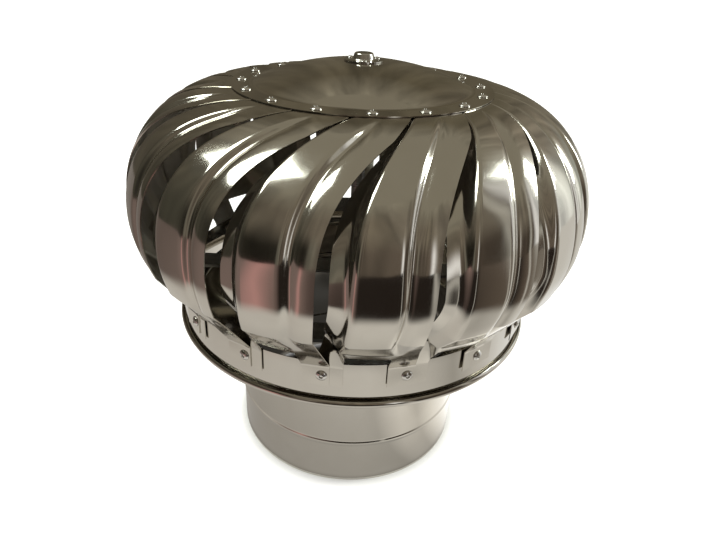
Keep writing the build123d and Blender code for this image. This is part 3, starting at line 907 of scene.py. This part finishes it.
def lay_cloth():
    """A glowing cloth on the floor that paints the metal's reflections: pale beside the vent and to its
    right, dark in front and at the left, with painted shade under the neck, a painted contact shadow at
    its left and painted light at its right.
    """
    finish, tree, coords = new_finish("painted_reflection_cloth")
    way = add(tree, "ShaderNodeTexGradient", {"gradient_type": "RADIAL"}, Vector=coords).outputs["Fac"]
    far_tones = add(tree, "ShaderNodeValToRGB", Fac=way, stops=[
        (0.0, "#6f625c"), (0.06, "#83736d"), (0.12, "#8a7671"), (0.145, "#cf9d98"), (0.165, "#85726c"),
        (0.2, "#5d4f4a"), (0.235, "#2a2420"), (0.33, "#2a2420"), (0.338, "#e0ddd5"), (0.346, "#2a2420"),
        (0.42, "#64594f"), (0.435, "#6a5f55"), (0.444, "#e0ddd5"), (0.455, "#6a5f55"), (0.47, "#8b847a"),
        (0.5, "#e6e4de"), (0.7, "#d9d6d0"), (0.85, "#8a857e"), (1.0, "#6f625c"),
    ])
    near_tones = add(tree, "ShaderNodeValToRGB", Fac=way, stops=[
        (0.0, "#cdc8c0"), (0.14, "#d8d4cd"), (0.28, "#e4e1da"), (0.36, "#d8d5ce"), (0.4, "#b9b6af"),
        (0.44, "#dad7d0"), (0.5, "#f4f3ef"), (0.6, "#f4f3ef"), (0.75, "#d2cfc8"), (1.0, "#cdc8c0"),
    ])
    reach = add(tree, "ShaderNodeVectorMath", {"operation": "LENGTH"}, _0=coords).outputs["Value"]
    far = add(
        tree, "ShaderNodeMapRange", {"interpolation_type": "SMOOTHSTEP"}, Value=reach,
        From_Min=0.24, From_Max=0.31,
    )
    # Painted shade: the glow drops under the neck
    under = add(
        tree, "ShaderNodeMapRange", {"interpolation_type": "SMOOTHSTEP"}, Value=reach,
        From_Min=0.070, From_Max=0.078, To_Min=0.12,
    )
    across = add(tree, "ShaderNodeSeparateXYZ", Vector=coords).outputs["X"]
    # Painted shadow and light beside the vent: darker towards its left, brighter towards its right
    foot_glow = add(
        tree, "ShaderNodeMapRange", Value=across, From_Min=0.045, From_Max=0.09, To_Min=0.68, To_Max=1.9
    )
    # Painted contact shadow and painted light near the vent, fading out by 0.2 m from the shaft
    contact = add(
        tree, "ShaderNodeMapRange", Value=reach,
        From_Min=0.08, From_Max=0.2, To_Min=foot_glow.outputs[0], To_Max=1.05,
    )
    tone = add(
        tree, "ShaderNodeMix", {"data_type": "RGBA"}, _0=far.outputs[0],
        _6=near_tones.outputs[0], _7=far_tones.outputs[0],
    )
    glow = add(
        tree, "ShaderNodeMath", {"operation": "MULTIPLY"}, _0=under.outputs[0], _1=contact.outputs[0]
    )
    shader = add(tree, "ShaderNodeEmission", Color=tone.outputs[2], Strength=glow.outputs[0])
    add(tree, "ShaderNodeOutputMaterial", Surface=shader.outputs[0])
    mesh = bmesh.new()
    bmesh.ops.create_circle(mesh, cap_ends=True, segments=curtain_facets, radius=curtain_radius)
    bmesh.ops.translate(mesh, verts=mesh.verts, vec=(0, 0, cloth_lift))
    out_of_picture("painted_reflection_cloth", mesh, finish)


def softbox(name, place, target, wide, tall, power):
    """An area lamp that faces a point."""
    lamp = bpy.data.lights.new(name, "AREA")
    lamp.shape = "RECTANGLE"
    lamp.size = wide
    lamp.size_y = tall
    lamp.energy = power
    lamp.color = linear(lamp_tone)[:3]
    box = bpy.data.objects.new(name, lamp)
    box.location = place
    box.rotation_euler = (Vector(target) - Vector(place)).to_track_quat("-Z", "Y").to_euler()
    bpy.context.collection.objects.link(box)


def studio_walls():
    """White at the horizon, a warm grey ceiling."""
    world = bpy.data.worlds.new("studio")
    bpy.context.scene.world = world
    world.use_nodes = True
    tree = world.node_tree
    tree.nodes.clear()
    way = add(tree, "ShaderNodeTexCoord")
    parts = add(tree, "ShaderNodeSeparateXYZ", Vector=way.outputs["Generated"])
    sky = add(tree, "ShaderNodeValToRGB", Fac=parts.outputs["Z"], stops=[
        (0.0, "#ffffff"), (0.15, "#ffffff"), (0.45, ceiling), (1.0, ceiling),
    ])
    back = add(tree, "ShaderNodeBackground", Color=sky.outputs[0], Strength=1.0)
    add(tree, "ShaderNodeOutputWorld", Surface=back.outputs[0])


def photo_camera():
    """Close and above the front, slightly rolled, for a picture 716 wide and 540 tall."""
    ahead = Vector((0, cos(camera_tilt), -sin(camera_tilt)))
    level, upright = Vector((1, 0, 0)), Vector((0, sin(camera_tilt), cos(camera_tilt)))
    right = level * cos(camera_roll) + upright * sin(camera_roll)
    up = upright * cos(camera_roll) - level * sin(camera_roll)
    lens = bpy.data.cameras.new("camera")
    lens.sensor_width = sensor_width
    lens.lens = focal_length / picture_width * sensor_width
    lens.shift_x, lens.shift_y = camera_shift
    lens.clip_start = 0.01
    camera = bpy.data.objects.new("camera", lens)
    facing = Matrix((right, up, -ahead)).transposed().to_4x4()
    camera.matrix_world = Matrix.Translation(camera_place) @ facing
    bpy.context.collection.objects.link(camera)
    bpy.context.scene.camera = camera


make_neck()
make_base_ring()
make_top_plate()
make_cap()
for number in range(1, vane_count + 1):
    make_vane(number)
make_all_rivets()
dress_inner_solids()

pale_floor()
hang_curtain()
lay_cloth()
softbox("skylight_left", place=(-0.9, -0.05, 1.45), target=(0, 0, 0.2), wide=0.75, tall=0.85, power=17)
softbox("window_right", place=(1.3, 0.3, 0.75), target=(0, 0, 0.15), wide=0.35, tall=1.1, power=18)
studio_walls()
photo_camera()
bpy.context.scene.view_settings.view_transform = "Standard"
